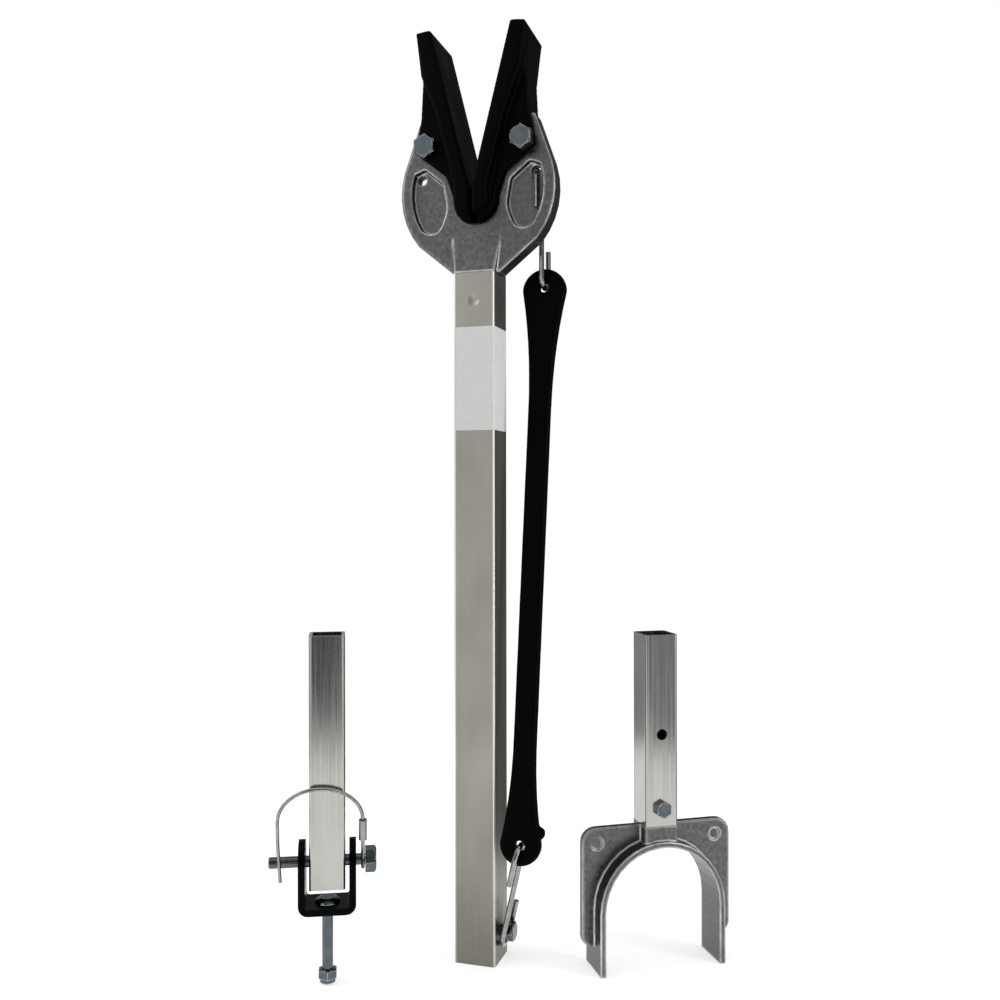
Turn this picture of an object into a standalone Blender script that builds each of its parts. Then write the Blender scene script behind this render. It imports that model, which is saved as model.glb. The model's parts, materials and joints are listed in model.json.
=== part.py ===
"""Outboard motor support strut with its two interchangeable lower legs, standing side by side.

Metres, +Z up. The strut has a rubber V cradle on a cast head and a rubber strap on two S hooks.
The bracket leg pivots on a hitch pin in a U clevis. The yoke leg ends in a cast arch.
Both legs telescope into the strut's tube.
"""

import math

import bmesh
import bpy
from mathutils import Matrix, Vector

MM = 0.001

# Layout on the floor: each item's axis, from the strut's axis, and its turn about Z.
KIT_CENTRE = (23.904 * MM, -15.848 * MM)
BRACKET_PLACE = (-91.8 * MM, -73.4 * MM)
BRACKET_TURN = math.radians(25.0)
YOKE_PLACE = (127.5 * MM, 29.4 * MM)
YOKE_TURN = math.radians(32.0)

# Clearances between pieces.
SEAT_GAP = 0.3 * MM
HOLE_GAP = 0.35 * MM

# Strut tube.
TUBE_SIDE = 31.75 * MM
TUBE_WALL = 2.9 * MM
TUBE_CORNER = 1.4 * MM
TUBE_LENGTH = 515.0 * MM
DIMPLE_DROP = 21.0 * MM
DIMPLE_RADIUS = 4.5 * MM
DIMPLE_DEPTH = 1.3 * MM

# Cast head: a flat plate with two horns, heights from the tube's top.
HEAD_RADIUS = 61.0 * MM
HEAD_RISE = 63.0 * MM
PLATE_THICKNESS = 18.0 * MM
WEB_THICKNESS = 8.0 * MM
PLATE_BEVEL = 2.0 * MM
NOTCH_RADIUS = 16.5 * MM
NOTCH_RISE = 55.0 * MM
NOTCH_MOUTH = 21.5 * MM
NOTCH_MOUTH_RISE = 73.5 * MM
HORN_TIP = 43.5 * MM
HORN_RISE = 117.0 * MM
HORN_WIDTH = 8.0 * MM
RAMP_TOP = 20.5 * MM
RAMP_RISE = 37.0 * MM
STEM_LENGTH = 42.0 * MM
POCKET_RADIUS = 52.5 * MM
POCKET_INNER = 22.5 * MM
POCKET_FOOT_RISE = 26.5 * MM
POCKET_TOP_RISE = 82.5 * MM
POCKET_SHOULDER_RISE = 70.0 * MM
POCKET_WAIST_RISE = 50.0 * MM
POCKET_DRAFT = 1.2 * MM
POCKET_ROUND = 7.0 * MM
HOOK_HOLE_X = 45.0 * MM
HOOK_HOLE_RISE = 75.0 * MM
HOOK_HOLE_RADIUS = 3.7 * MM

# Rubber pads of the V cradle, heights from the tube's top.
PAD_APEX_RISE = 63.0 * MM
PAD_TIP_RISE = 180.5 * MM
PAD_TIP_SPREAD = 31.0 * MM
PAD_SLAB = 11.8 * MM
PAD_DEPTH = 50.0 * MM
PAD_FLAP = 5.6 * MM
PAD_KINK = 36.5 * MM
PAD_KINK_RISE = 147.0 * MM
PAD_HIP = 46.5 * MM
PAD_HIP_RISE = 93.0 * MM
PAD_GAP = 0.8 * MM
PAD_BEVEL = 1.2 * MM
PAD_BOLT_X = 37.5 * MM
PAD_BOLT_RISE = 96.0 * MM

# Hex fasteners: shank diameter, width across flats, head height.
PAD_BOLT = (11.1 * MM, 15.9 * MM, 7.0 * MM)
ANCHOR_BOLT = (7.9 * MM, 12.7 * MM, 5.3 * MM)
YOKE_BOLT = (6.35 * MM, 11.1 * MM, 4.4 * MM)
LOCK_NUT = (7.9 * MM, 12.7 * MM, 9.5 * MM)
NUT_SHARE = 0.88
BOLT_REACH = 2.0 * MM

# Fastener forms, as shares of a width across flats, a diameter or a height.
CROWN_SHARE = 0.94
TIP_SHARE = 0.84
TIP_TAPER = 0.08
HEAD_FLANK = 0.86
NUT_FLANK = 0.14

# Strap anchor at the strut's foot.
ANCHOR_HEIGHT = 22.0 * MM
ANCHOR_STANDOFF = 5.6 * MM

# S hooks: round wire bent to two half circles.
HOOK_WIRE = 4.0 * MM
HOOK_BEND = 10.0 * MM
HOOK_SPAN = 64.0 * MM
UPPER_HOOK_END = 19.0 * MM
LOWER_HOOK_END = 18.0 * MM
HOOK_TAIL = 20.0 * MM
LOWER_HOOK_LEAN = math.radians(13.0)

# Rubber strap.
STRAP_THICKNESS = 9.0 * MM
STRAP_MIDDLE = 17.0 * MM
STRAP_TOP_EYE = 34.0 * MM
STRAP_FOOT_EYE = 31.0 * MM
STRAP_EYE_HOLE = 8.0 * MM
STRAP_TOP_MARGIN = 14.5 * MM
STRAP_FOOT_MARGIN = 14.5 * MM
STRAP_TOP_TAPER = 95.0 * MM
STRAP_FOOT_TAPER = 75.0 * MM
STRAP_BEVEL = 2.2 * MM
NUB_RADIUS = 4.5 * MM
NUB_REACH = 2.5 * MM
NUB_RISE = 10.0 * MM

# Lower legs: square tube that slides inside the strut's tube.
LEG_SIDE = 25.4 * MM
LEG_WALL = 2.4 * MM
LEG_CORNER = 2.2 * MM

# Bracket leg.
BRACKET_TUBE_LOW = 70.5 * MM
BRACKET_TUBE_LENGTH = 179.5 * MM
PIN_HEIGHT = 87.5 * MM
PIN_RADIUS = 4.0 * MM
PIN_LEFT = 41.5 * MM
PIN_NECK = 6.4 * MM
PIN_HEAD_FLATS = 16.5 * MM
PIN_HEAD_LENGTH = 8.0 * MM
CLEVIS_INSIDE = 31.0 * MM
CLEVIS_PLATE = 4.8 * MM
CLEVIS_DEPTH = 31.0 * MM
CLEVIS_BASE = 53.5 * MM
CLEVIS_BEND = 7.0 * MM
CARRIAGE_HEAD = 18.0 * MM
CARRIAGE_DOME = 4.0 * MM
LOCK_NUT_LOW = 1.2 * MM
BAIL_WIRE = 2.6 * MM
BAIL_REACH = 58.0 * MM
BAIL_SHOULDER = 34.0 * MM
BAIL_LEFT = 34.5 * MM
BAIL_TAIL = 12.0 * MM
BAIL_TILT = math.radians(11.0)
BAIL_EYE_END = 465.0
FERRULE_LOW = 18.5 * MM
FERRULE_LENGTH = 15.0 * MM
FERRULE_WALL = 1.3 * MM

# Yoke leg.
YOKE_TUBE_LOW = 105.0 * MM
YOKE_TUBE_LENGTH = 141.0 * MM
ADJUST_HOLE_HEIGHT = 172.5 * MM
ADJUST_HOLE_RADIUS = 4.1 * MM
YOKE_BOLT_HEIGHT = 118.0 * MM
YOKE_STEM_LENGTH = 28.0 * MM
ARCH_RADIUS = 45.0 * MM
ARCH_HEIGHT = 45.0 * MM
ARCH_BAND = 4.2 * MM
ARCH_DEPTH = 32.0 * MM
YOKE_WIDTH = 118.0 * MM
YOKE_WEB = 6.0 * MM
YOKE_WEB_FOOT = 18.0 * MM
YOKE_WEB_CORNER = 11.0 * MM
YOKE_BOSS = 26.0 * MM
MARK_RADIUS = 4.5 * MM
MARK_DEPTH = 2.0 * MM
MARK_INSET = 12.0 * MM

# Finish of each material: colour, roughness, metallic.
FINISHES = {
    "satin_aluminium": ((0.36, 0.34, 0.30), 0.42, 1.0),
    "mill_aluminium": ((0.55, 0.54, 0.51), 0.35, 1.0),
    "cast_aluminium": ((0.25, 0.25, 0.25), 0.45, 1.0),
    "black_rubber": ((0.008, 0.008, 0.009), 0.6, 0.0),
    "black_paint": ((0.006, 0.006, 0.006), 0.3, 0.0),
    "zinc_plate": ((0.55, 0.60, 0.62), 0.3, 1.0),
    "bright_wire": ((0.62, 0.62, 0.60), 0.25, 1.0),
}

SMOOTH_ANGLE = math.radians(35.0)
ROUND_SIDES = 20
HEX_SIDES = 24
ARC_STEP = math.radians(11.0)


def clear_scene():
    for obj in list(bpy.data.objects):
        bpy.data.objects.remove(obj, do_unlink=True)


def finish(name):
    """The named material, made on first use."""
    material = bpy.data.materials.get(name)
    if material is None:
        colour, roughness, metallic = FINISHES[name]
        material = bpy.data.materials.new(name)
        material.use_nodes = True
        shader = material.node_tree.nodes["Principled BSDF"]
        shader.inputs["Base Color"].default_value = (*colour, 1.0)
        shader.inputs["Roughness"].default_value = roughness
        shader.inputs["Metallic"].default_value = metallic
    return material


def empty(name, parent, location=(0.0, 0.0, 0.0), turn=0.0):
    """A frame that pieces are placed in."""
    obj = bpy.data.objects.new(name, None)
    obj.location = location
    obj.rotation_euler = (0.0, 0.0, turn)
    obj.parent = parent
    bpy.context.collection.objects.link(obj)
    return obj


def piece(name, bm, material, parent, location=(0.0, 0.0, 0.0), rotation=(0.0, 0.0, 0.0)):
    """An object made from a closed bmesh, shaded smooth apart from its sharp edges."""
    bmesh.ops.recalc_face_normals(bm, faces=bm.faces)
    mesh = bpy.data.meshes.new(name)
    bm.to_mesh(mesh)
    bm.free()
    mesh.shade_smooth()
    mesh.set_sharp_from_angle(angle=SMOOTH_ANGLE)
    mesh.materials.append(finish(material))
    obj = bpy.data.objects.new(name, mesh)
    obj.parent = parent
    obj.location = location
    obj.rotation_euler = rotation
    bpy.context.collection.objects.link(obj)
    return obj


def combine(obj, bm, operation):
    """Cuts a bmesh from an object, or joins it on, in the object's own frame."""
    tool = piece(obj.name + "_tool_%d" % len(obj.modifiers), bm, "cast_aluminium", obj)
    tool.hide_render = True
    tool.display_type = "WIRE"
    modifier = obj.modifiers.new(operation.lower(), "BOOLEAN")
    modifier.operation = operation
    modifier.object = tool
    modifier.solver = "EXACT"


def cut(obj, bm):
    combine(obj, bm, "DIFFERENCE")


def join(obj, bm):
    combine(obj, bm, "UNION")


def bevel(obj, width, segments=2):
    modifier = obj.modifiers.new("bevel", "BEVEL")
    modifier.width = width
    modifier.segments = segments
    modifier.limit_method = "ANGLE"
    modifier.angle_limit = math.radians(40.0)


def loft(rings, closed=False):
    """Skin through rings of equally many points. The ends are capped, or the last ring joins the first."""
    bm = bmesh.new()
    loops = [[bm.verts.new(point) for point in ring] for ring in rings]
    pairs = list(zip(loops, loops[1:]))
    if closed:
        pairs.append((loops[-1], loops[0]))
    for low, high in pairs:
        for i in range(len(low)):
            k = (i + 1) % len(low)
            bm.faces.new((low[i], low[k], high[k], high[i]))
    if not closed:
        bm.faces.new(loops[0])
        bm.faces.new(loops[-1])
    return bm


def ring(outline, height):
    return [Vector((x, y, height)) for x, y in outline]


def circle(radius, count=ROUND_SIDES, centre=(0.0, 0.0)):
    angles = [2.0 * math.pi * i / count for i in range(count)]
    return [(centre[0] + radius * math.cos(a), centre[1] + radius * math.sin(a)) for a in angles]


def hexagon(flats):
    """A hexagon with extra points along its sides, as many as the round rings of a fastener."""
    points = []
    for i in range(HEX_SIDES):
        angle = 2.0 * math.pi * i / HEX_SIDES
        off_flat = (angle + math.pi / 6.0) % (math.pi / 3.0) - math.pi / 6.0
        reach = 0.5 * flats / math.cos(off_flat)
        points.append((reach * math.cos(angle), reach * math.sin(angle)))
    return points


def arc(centre, radius, start, end):
    """Points along an arc, angles in degrees, both ends included."""
    start, end = math.radians(start), math.radians(end)
    steps = max(2, math.ceil(abs(end - start) / ARC_STEP))
    angles = [start + (end - start) * i / steps for i in range(steps + 1)]
    return [(centre[0] + radius * math.cos(a), centre[1] + radius * math.sin(a)) for a in angles]


def rounded(corners):
    """A closed outline from corners (x, y, radius), with an arc at each corner that has a radius."""
    outline = []
    for i, (x, y, radius) in enumerate(corners):
        corner = Vector((x, y))
        back = (Vector(corners[i - 1][:2]) - corner).normalized()
        ahead = (Vector(corners[(i + 1) % len(corners)][:2]) - corner).normalized()
        half = 0.5 * back.angle(ahead)
        if radius <= 0.0:
            outline.append((x, y))
            continue
        reach = radius / math.tan(half)
        centre = corner + (back + ahead).normalized() * radius / math.sin(half)
        start = corner + back * reach - centre
        sweep = start.angle_signed(corner + ahead * reach - centre)
        steps = max(2, math.ceil(abs(sweep) / (2.0 * ARC_STEP)))
        for k in range(steps + 1):
            turned = Matrix.Rotation(-sweep * k / steps, 2) @ start
            outline.append((centre.x + turned.x, centre.y + turned.y))
    return outline


def box_outline(width, depth, radius):
    x, y = 0.5 * width, 0.5 * depth
    return rounded([(x, -y, radius), (x, y, radius), (-x, y, radius), (-x, -y, radius)])


def upright(outline, front, back):
    """An outline drawn in X and Z, extruded from front to back along Y."""
    return loft([[Vector((x, y, z)) for x, z in outline] for y in (front, back)])


def rod(radius, low, high, axis="Z", centre=(0.0, 0.0, 0.0), count=ROUND_SIDES):
    """A round bar along an axis between two stations."""
    bm = loft([ring(circle(radius, count), low), ring(circle(radius, count), high)])
    turns = {"X": Matrix.Rotation(math.pi / 2.0, 4, "Y"), "Y": Matrix.Rotation(-math.pi / 2.0, 4, "X")}
    bm.transform(Matrix.Translation(centre) @ turns.get(axis, Matrix.Identity(4)))
    return bm


def square_tube(side, wall, corner, low, length):
    """A square tube with round corners, open at both ends."""
    outer = box_outline(side, side, corner)
    inner = box_outline(side - 2.0 * wall, side - 2.0 * wall, 0.5 * corner)
    high = low + length
    return loft([ring(outer, low), ring(outer, high), ring(inner, high), ring(inner, low)], True)


def hex_bolt(sizes, length):
    """A hex bolt along Z: the head stands on z = 0 and the shank runs down to -length."""
    diameter, flats, height = sizes
    shank = circle(0.5 * diameter, HEX_SIDES)
    tip = circle(0.5 * TIP_SHARE * diameter, HEX_SIDES)
    crown = circle(0.5 * CROWN_SHARE * flats, HEX_SIDES)
    return loft([
        ring(tip, -length),
        ring(shank, -length + TIP_TAPER * diameter),
        ring(shank, 0.0),
        ring(hexagon(flats), 0.0),
        ring(hexagon(flats), HEAD_FLANK * height),
        ring(crown, height),
    ])


def hex_nut(sizes, height):
    """A hex nut along Z, from z = 0 up, bored to clear its bolt."""
    diameter, flats, _ = sizes
    bore = circle(0.5 * diameter + HOLE_GAP, HEX_SIDES)
    crown = circle(0.5 * CROWN_SHARE * flats, HEX_SIDES)
    flank = NUT_FLANK * height
    return loft([
        ring(bore, 0.0),
        ring(crown, 0.0),
        ring(hexagon(flats), flank),
        ring(hexagon(flats), height - flank),
        ring(crown, height),
        ring(bore, height),
    ], True)


def wire(path, diameter, count=10):
    """A round wire along a list of points, its rings kept from twisting."""
    path = [Vector(point) for point in path]
    rings = []
    across = None
    for i, point in enumerate(path):
        along = (path[min(i + 1, len(path) - 1)] - path[max(i - 1, 0)]).normalized()
        if across is None:
            across = along.orthogonal()
        across = (across - along * across.dot(along)).normalized()
        other = along.cross(across)
        spokes = [2.0 * math.pi * k / count for k in range(count)]
        rings.append([point + 0.5 * diameter * (across * math.cos(a) + other * math.sin(a)) for a in spokes])
    return loft(rings)


def mirrored(half):
    """A whole outline from its right half, which runs from the axis round to the axis."""
    return half + [(-corner[0], *corner[1:]) for corner in reversed(half)]


def grown(outline, distance):
    """An outline that runs counter-clockwise, moved outwards."""
    moved = []
    for i, point in enumerate(outline):
        here = Vector(point)
        before = (here - Vector(outline[i - 1])).normalized()
        after = (Vector(outline[(i + 1) % len(outline)]) - here).normalized()
        normals = Vector((before.y + after.y, -before.x - after.x))
        shift = normals * distance / (1.0 + before.dot(after))
        moved.append((point[0] + shift.x, point[1] + shift.y))
    return moved


def shell_points(points):
    """Corners with no rounding, lifted to the height of the tube's top."""
    return [(x, TUBE_LENGTH + z, 0.0) for x, z in points]


def head_outline():
    """Front outline of the cast head: round body, two horns and the U notch between them."""
    tip_round = 0.35 * HORN_WIDTH
    half = [(0.5 * TUBE_SIDE + PLATE_BEVEL, TUBE_LENGTH + SEAT_GAP, 0.0)]
    half += shell_points(arc((0.0, HEAD_RISE), HEAD_RADIUS, -40.0, 17.0))
    half.append((HORN_TIP + 0.25 * HORN_WIDTH, TUBE_LENGTH + HORN_RISE, tip_round))
    half.append((HORN_TIP - 0.75 * HORN_WIDTH, TUBE_LENGTH + HORN_RISE, tip_round))
    half.append((NOTCH_MOUTH, TUBE_LENGTH + NOTCH_MOUTH_RISE, tip_round))
    half += shell_points(arc((0.0, NOTCH_RISE), NOTCH_RADIUS, 8.0, -84.0))
    return rounded(mirrored(half))


def pocket_outline(side):
    """Kidney pocket beside the notch, with its outer edge concentric with the head."""
    foot = math.degrees(math.asin((POCKET_FOOT_RISE - HEAD_RISE) / POCKET_RADIUS))
    top = math.degrees(math.asin((POCKET_TOP_RISE - HEAD_RISE) / POCKET_RADIUS))
    foot_z = TUBE_LENGTH + POCKET_FOOT_RISE
    top_z = TUBE_LENGTH + POCKET_TOP_RISE
    outline = [(POCKET_INNER + 1.3 * POCKET_ROUND, foot_z, 1.4 * POCKET_ROUND)]
    outline += shell_points(arc((0.0, HEAD_RISE), POCKET_RADIUS, foot + 12.0, top - 4.0))
    outline.append((POCKET_RADIUS - 1.6 * POCKET_ROUND, top_z, 0.5 * POCKET_ROUND))
    shoulder_z = TUBE_LENGTH + POCKET_SHOULDER_RISE
    outline.append((POCKET_INNER + 0.5 * POCKET_ROUND, shoulder_z, 0.7 * POCKET_ROUND))
    outline.append((POCKET_INNER, TUBE_LENGTH + POCKET_WAIST_RISE, 2.5 * POCKET_ROUND))
    return rounded([(side * x, z, radius) for x, z, radius in outline])


def outer_tube(strut):
    body = square_tube(TUBE_SIDE, TUBE_WALL, TUBE_CORNER, 0.0, TUBE_LENGTH)
    tube = piece("outer_tube", body, "satin_aluminium", strut)
    face = 0.5 * TUBE_SIDE
    bolt_hole = 0.5 * ANCHOR_BOLT[0] + HOLE_GAP
    cut(tube, rod(bolt_hole, face - 2.0 * TUBE_WALL, face + TUBE_WALL, "X", (0.0, 0.0, ANCHOR_HEIGHT)))
    dimple = loft([
        ring(circle(0.35 * DIMPLE_RADIUS), -DIMPLE_DEPTH),
        ring(circle(DIMPLE_RADIUS), 0.0),
        ring(circle(DIMPLE_RADIUS), DIMPLE_DEPTH),
    ])
    place = Matrix.Translation((0.0, -face, TUBE_LENGTH - DIMPLE_DROP))
    dimple.transform(place @ Matrix.Rotation(math.pi / 2.0, 4, "X"))
    cut(tube, dimple)
    return tube


def head_casting(strut):
    """The cast head: bevelled plate, ramp down to the tube, stem in the tube, pockets and holes."""
    front = 0.5 * PLATE_THICKNESS
    head = piece("head_casting", upright(head_outline(), -front, front), "cast_aluminium", strut)
    bevel(head, PLATE_BEVEL)
    shoulder = TUBE_LENGTH + SEAT_GAP
    ramp_foot = box_outline(TUBE_SIDE, TUBE_SIDE, TUBE_CORNER)
    ramp_top = box_outline(2.0 * RAMP_TOP, PLATE_THICKNESS - 2.0 * PLATE_BEVEL, TUBE_CORNER)
    join(head, loft([ring(ramp_foot, shoulder), ring(ramp_top, TUBE_LENGTH + RAMP_RISE)]))
    stem_side = TUBE_SIDE - 2.0 * TUBE_WALL - 2.0 * SEAT_GAP
    stem = box_outline(stem_side, stem_side, TUBE_CORNER)
    join(head, loft([ring(stem, TUBE_LENGTH - STEM_LENGTH), ring(stem, shoulder + PLATE_BEVEL)]))
    for side in (-1, 1):
        for face in (-1, 1):
            drafted = grown(pocket_outline(side), -side * POCKET_DRAFT)
            floor = [(x, face * 0.5 * WEB_THICKNESS, z) for x, z in drafted]
            mouth = [(x, face * (front + PLATE_BEVEL), z) for x, z in pocket_outline(side)]
            cut(head, loft([floor, mouth]))
        hook_hole = (side * HOOK_HOLE_X, 0.0, TUBE_LENGTH + HOOK_HOLE_RISE)
        cut(head, rod(HOOK_HOLE_RADIUS, -front, front, "Y", hook_hole))
        bolt_hole = (side * PAD_BOLT_X, 0.0, TUBE_LENGTH + PAD_BOLT_RISE)
        cut(head, rod(0.5 * PAD_BOLT[0] + HOLE_GAP, -2.0 * front, 2.0 * front, "Y", bolt_hole))
    return head


def pad_outlines(side):
    """Front outlines of a rubber pad: its flap, and the slab that faces the other pad."""
    gap = 0.5 * PAD_GAP
    edge = 0.1 * PAD_SLAB
    tip_z = TUBE_LENGTH + PAD_TIP_RISE
    apex_z = TUBE_LENGTH + PAD_APEX_RISE
    bed = NOTCH_RADIUS - 2.0 * SEAT_GAP
    lap = 0.4 * PAD_SLAB
    slab = [
        (gap, TUBE_LENGTH + NOTCH_RISE - 0.8 * bed, 0.0),
        (gap + PAD_SLAB, TUBE_LENGTH + NOTCH_RISE - 0.4 * bed, edge),
        (gap + PAD_SLAB, apex_z, 0.0),
        (PAD_TIP_SPREAD + PAD_SLAB, tip_z - edge, edge),
        (PAD_TIP_SPREAD, tip_z, edge),
        (gap, apex_z, 0.0),
    ]
    seam = math.degrees(math.acos((gap + 0.5 * edge) / bed))
    flap = [(gap + lap, apex_z, 0.0)]
    flap += shell_points(arc((0.0, NOTCH_RISE), bed, -seam, 8.0))
    flap += [
        (NOTCH_MOUTH + 2.0 * SEAT_GAP, TUBE_LENGTH + NOTCH_MOUTH_RISE + 2.0 * SEAT_GAP, 0.0),
        (PAD_HIP, TUBE_LENGTH + PAD_HIP_RISE, 4.0 * edge),
        (PAD_KINK, TUBE_LENGTH + PAD_KINK_RISE, 0.0),
        (PAD_TIP_SPREAD + PAD_SLAB - 0.2 * edge, tip_z - 2.0 * edge, 0.0),
        (PAD_TIP_SPREAD + lap, tip_z - 2.0 * edge, 0.0),
    ]
    return [rounded([(side * x, z, radius) for x, z, radius in corners]) for corners in (flap, slab)]


def cradle_pad(name, side, strut):
    """A rubber pad: a deep slab that bears on the motor, and two flaps that straddle the casting's horn."""
    flap_outline, slab_outline = pad_outlines(side)
    flap = 0.5 * PLATE_THICKNESS + SEAT_GAP + PAD_FLAP
    pad = piece(name, upright(slab_outline, -0.5 * PAD_DEPTH, 0.5 * PAD_DEPTH), "black_rubber", strut)
    bevel(pad, PAD_BEVEL)
    join(pad, upright(flap_outline, -flap, flap))
    slot = 0.5 * PLATE_THICKNESS + SEAT_GAP
    cut(pad, upright(grown(head_outline(), SEAT_GAP), -slot, slot))
    bolt_hole = (side * PAD_BOLT_X, 0.0, TUBE_LENGTH + PAD_BOLT_RISE)
    cut(pad, rod(0.5 * PAD_BOLT[0] + HOLE_GAP, -2.0 * flap, 2.0 * flap, "Y", bolt_hole))
    return pad


def pad_fastener(name, side, strut):
    """The bolt and nut that clamp a pad's flaps on the horn. The head is in front and the nut behind."""
    seat = 0.5 * PLATE_THICKNESS + 2.0 * SEAT_GAP + PAD_FLAP
    nut_height = NUT_SHARE * PAD_BOLT[0]
    place = (side * PAD_BOLT_X, -seat, TUBE_LENGTH + PAD_BOLT_RISE)
    shank = 2.0 * seat + nut_height + BOLT_REACH
    piece(name + "_bolt", hex_bolt(PAD_BOLT, shank), "zinc_plate", strut, place, (math.pi / 2.0, 0.0, 0.0))
    behind = (place[0], seat, place[2])
    nut = hex_nut(PAD_BOLT, nut_height)
    piece(name + "_nut", nut, "zinc_plate", strut, behind, (-math.pi / 2.0, 0.0, 0.0))


def anchor_bolt(strut):
    """The bolt in the tube's right wall whose shank the strap's lower hook goes round."""
    face = 0.5 * TUBE_SIDE
    shank = ANCHOR_STANDOFF + TUBE_WALL
    place = (face + ANCHOR_STANDOFF, 0.0, ANCHOR_HEIGHT)
    piece("anchor_bolt", hex_bolt(ANCHOR_BOLT, shank), "zinc_plate", strut, place, (0.0, math.pi / 2.0, 0.0))


def hook_path(drop, forward, end):
    """Centre line of an S hook in the YZ plane. The upper bend's centre lies at (forward, -drop)."""
    path = [(forward - HOOK_BEND, -drop - end)]
    far = forward + 2.0 * HOOK_BEND
    path += [(forward - y, z - drop) for y, z in arc((0.0, 0.0), HOOK_BEND, 0.0, 180.0)]
    path += [(far - y, z - drop - HOOK_SPAN) for y, z in arc((0.0, 0.0), HOOK_BEND, 0.0, -180.0)]
    path.append((forward + 3.0 * HOOK_BEND, -drop - HOOK_SPAN + HOOK_TAIL))
    return [(0.0, y, z) for y, z in path]


def eye_offset():
    """How far a hook's bend centre lies from the centre of the strap's hole that it hangs in."""
    inside = HOOK_BEND - 0.5 * HOOK_WIRE
    play = 0.1 * STRAP_THICKNESS
    return math.sqrt(inside ** 2 - (0.5 * STRAP_THICKNESS) ** 2) - play + 0.5 * STRAP_EYE_HOLE


def strap_outline(length):
    """Front outline of the strap: two round eyes, each with a flank that narrows to the middle."""
    half = []
    middle = 0.5 * STRAP_MIDDLE
    for eye, margin, taper, low in (
        (0.5 * STRAP_FOOT_EYE, STRAP_FOOT_MARGIN, STRAP_FOOT_TAPER, True),
        (0.5 * STRAP_TOP_EYE, STRAP_TOP_MARGIN, STRAP_TOP_TAPER, False),
    ):
        part = arc((0.0, eye - margin), eye, -88.0, 0.0)
        for step in range(1, 8):
            share = step / 7.0
            width = middle + (eye - middle) * (1.0 - share) ** 2.2
            part.append((width, eye - margin + taper * share))
        if low:
            half += [(x, z - length) for x, z in part]
        else:
            half += [(x, -z) for x, z in reversed(part)]
    return [(x, z) for x, z, _ in mirrored([(x, z, 0.0) for x, z in half])]


def strap_and_hooks(strut):
    """The strap with its two S hooks. Each piece's origin lies on the axis that it swings about."""
    back = 0.5 * PLATE_THICKNESS + 2.0 * SEAT_GAP + 0.5 * HOOK_WIRE
    forward = back - HOOK_BEND
    inside = HOOK_BEND - 0.5 * HOOK_WIRE
    web_edge = 0.5 * WEB_THICKNESS + forward
    drop = HOOK_HOLE_RADIUS - SEAT_GAP + math.sqrt(inside ** 2 - web_edge ** 2)
    hole = Vector((HOOK_HOLE_X, 0.0, TUBE_LENGTH + HOOK_HOLE_RISE))
    upper = wire(hook_path(drop, forward, UPPER_HOOK_END), HOOK_WIRE)
    piece("upper_s_hook", upper, "bright_wire", strut, hole)
    top_eye = hole + Vector((0.0, forward + 2.0 * HOOK_BEND, -drop - HOOK_SPAN - eye_offset()))

    lean = Matrix.Rotation(LOWER_HOOK_LEAN, 3, "Y")
    bend_x = 0.5 * TUBE_SIDE + SEAT_GAP + 0.5 * HOOK_WIRE + HOOK_BEND * math.sin(LOWER_HOOK_LEAN)
    bend = Vector((bend_x, 0.0, ANCHOR_HEIGHT))
    foot_eye = bend + lean @ Vector((0.0, -2.0 * HOOK_BEND, HOOK_SPAN + eye_offset()))
    lower = wire(hook_path(eye_offset(), 0.0, LOWER_HOOK_END), HOOK_WIRE)
    piece("lower_s_hook", lower, "bright_wire", strut, foot_eye, (0.0, LOWER_HOOK_LEAN, 0.0))

    along = (top_eye - foot_eye).normalized()
    across = Vector((1.0, 0.0, 0.0))
    across = (across - along * across.dot(along)).normalized()
    turn = Matrix((across, along.cross(across), along)).transposed().to_euler()
    length = (top_eye - foot_eye).length
    half = 0.5 * STRAP_THICKNESS
    body = upright(strap_outline(length), -half, half)
    strap = piece("rubber_strap", body, "black_rubber", strut, top_eye, turn)
    bevel(strap, STRAP_BEVEL)
    nub_x = 0.5 * STRAP_FOOT_EYE + NUB_REACH - NUB_RADIUS
    nub_z = NUB_RISE - length
    join(strap, rod(NUB_RADIUS, -0.5 * half, 0.5 * half, "Y", (nub_x, 0.0, nub_z)))
    for height in (0.0, -length):
        cut(strap, rod(0.5 * STRAP_EYE_HOLE, -2.0 * half, 2.0 * half, "Y", (0.0, 0.0, height)))


def build_strut(strut):
    outer_tube(strut)
    head_casting(strut)
    for name, side in (("left_pad", -1), ("right_pad", 1)):
        cradle_pad(name, side, strut)
        pad_fastener(name, side, strut)
    anchor_bolt(strut)
    strap_and_hooks(strut)


def clevis_half_width():
    return 0.5 * CLEVIS_INSIDE + CLEVIS_PLATE


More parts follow.
